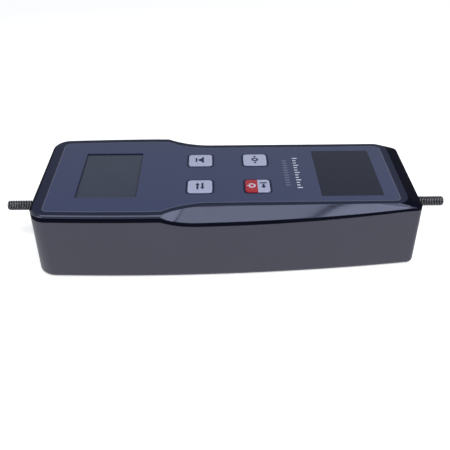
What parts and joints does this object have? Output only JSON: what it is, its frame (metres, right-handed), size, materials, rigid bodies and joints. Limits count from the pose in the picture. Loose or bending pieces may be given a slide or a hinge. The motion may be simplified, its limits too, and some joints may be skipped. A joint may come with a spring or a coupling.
{
  "type": "digital force gauge",
  "caption": "Hand-held digital force gauge with a display, square keys and a threaded stud at each end for push and pull tests.",
  "frame": {"origin": "under the middle of the part, at the height of the back face it rests on", "axes": "+X along the gauge from the display end to the foot end, +Y across it to the far side, +Z out of the display face"},
  "size_m": [0.262, 0.089, 0.0425],
  "materials": {
    "rear_casing": "satin moulded plastic",
    "front_casing": "glossy moulded plastic",
    "label_film": "printed polyester film",
    "window_tint": "clear hard coat over a grey display",
    "plate_dark": "satin printed plate",
    "key_pale": "embossed film key",
    "key_red": "embossed film key",
    "stud_steel": "dark oiled steel thread",
    "plated_steel": "zinc plated",
    "cell_aluminium": "machined",
    "board_laminate": "solder mask",
    "black_plastic": "moulded",
    "contact_metal": "nickel plated",
    "gauge_foil": "foil on film",
    "cell_sleeve": "shrunk sleeve",
    "strip_rubber": "layered rubber",
    "connector_white": "moulded",
    "lead_jacket": "extruded",
    "bush_brass": "turned"
  },
  "bodies": {
    "casing": {"rear_shell": "rear_casing", "front_shell": "front_casing", "front_label": "label_film", "display_window": "window_tint", "blank_plate": "plate_dark", "tact_switch_1": "black_plastic", "tact_switch_2": "black_plastic", "tact_switch_3": "black_plastic", "tact_switch_4": "black_plastic", "main_board": "board_laminate", "display_glass": "window_tint", "display_frame": "black_plastic", "contact_strip_near": "strip_rubber", "contact_strip_far": "strip_rubber", "microcontroller": "black_plastic", "converter_chip": "black_plastic", "voltage_regulator": "black_plastic", "crystal": "plated_steel", "capacitor_1": "cell_aluminium", "capacitor_2": "cell_aluminium", "sensor_connector": "connector_white", "battery_connector": "connector_white", "load_cell": "cell_aluminium", "cell_cover_top": "cell_aluminium", "cell_cover_bottom": "cell_aluminium", "strain_gauge_near": "gauge_foil", "strain_gauge_far": "gauge_foil", "fixed_stud": "stud_steel", "fixed_nut": "plated_steel", "bracket_nut": "plated_steel", "foot_bracket": "plated_steel", "guide_bush": "bush_brass", "foot_bush": "bush_brass", "bracket_screw_1": "plated_steel", "bracket_screw_2": "plated_steel", "battery_tray": "black_plastic", "battery_1": "cell_sleeve", "battery_2": "cell_sleeve", "battery_3": "cell_sleeve", "battery_contact_1": "contact_metal", "battery_contact_2": "contact_metal", "battery_contact_3": "contact_metal", "battery_contact_4": "contact_metal", "case_screw_1": "plated_steel", "case_screw_2": "plated_steel", "case_screw_3": "plated_steel", "case_screw_4": "plated_steel", "board_screw_1": "plated_steel", "board_screw_2": "plated_steel", "board_screw_3": "plated_steel", "board_screw_4": "plated_steel", "sensor_lead": "lead_jacket", "battery_lead": "lead_jacket"},
    "measuring_end": {"measuring_stud": "stud_steel", "measuring_nut": "plated_steel"},
    "peak_key": {"key_peak": "key_pale"},
    "unit_key": {"key_unit": "key_pale"},
    "zero_key": {"key_zero": "key_pale"},
    "power_key": {"key_power": "key_red"},
    "door": {"battery_door": "rear_casing"}
  },
  "joints": [
    {"name": "measuring_slide", "type": "slide", "parent": "casing", "child": "measuring_end", "axis": [-1, 0, 0], "range_m": [-0.00025, 0.00025], "stiffness_N_per_m": 5000},
    {"name": "peak_key_press", "type": "slide", "parent": "casing", "child": "peak_key", "axis": [0, 0, -1], "range_m": [0, 0.0004], "stiffness_N_per_m": 2500},
    {"name": "unit_key_press", "type": "slide", "parent": "casing", "child": "unit_key", "axis": [0, 0, -1], "range_m": [0, 0.0004], "stiffness_N_per_m": 2500},
    {"name": "zero_key_press", "type": "slide", "parent": "casing", "child": "zero_key", "axis": [0, 0, -1], "range_m": [0, 0.0004], "stiffness_N_per_m": 2500},
    {"name": "power_key_press", "type": "slide", "parent": "casing", "child": "power_key", "axis": [0, 0, -1], "range_m": [0, 0.0004], "stiffness_N_per_m": 2500},
    {"name": "door_slide", "type": "slide", "parent": "casing", "child": "door", "axis": [1, 0, 0], "range_m": [0, 0.06]}
  ]
}
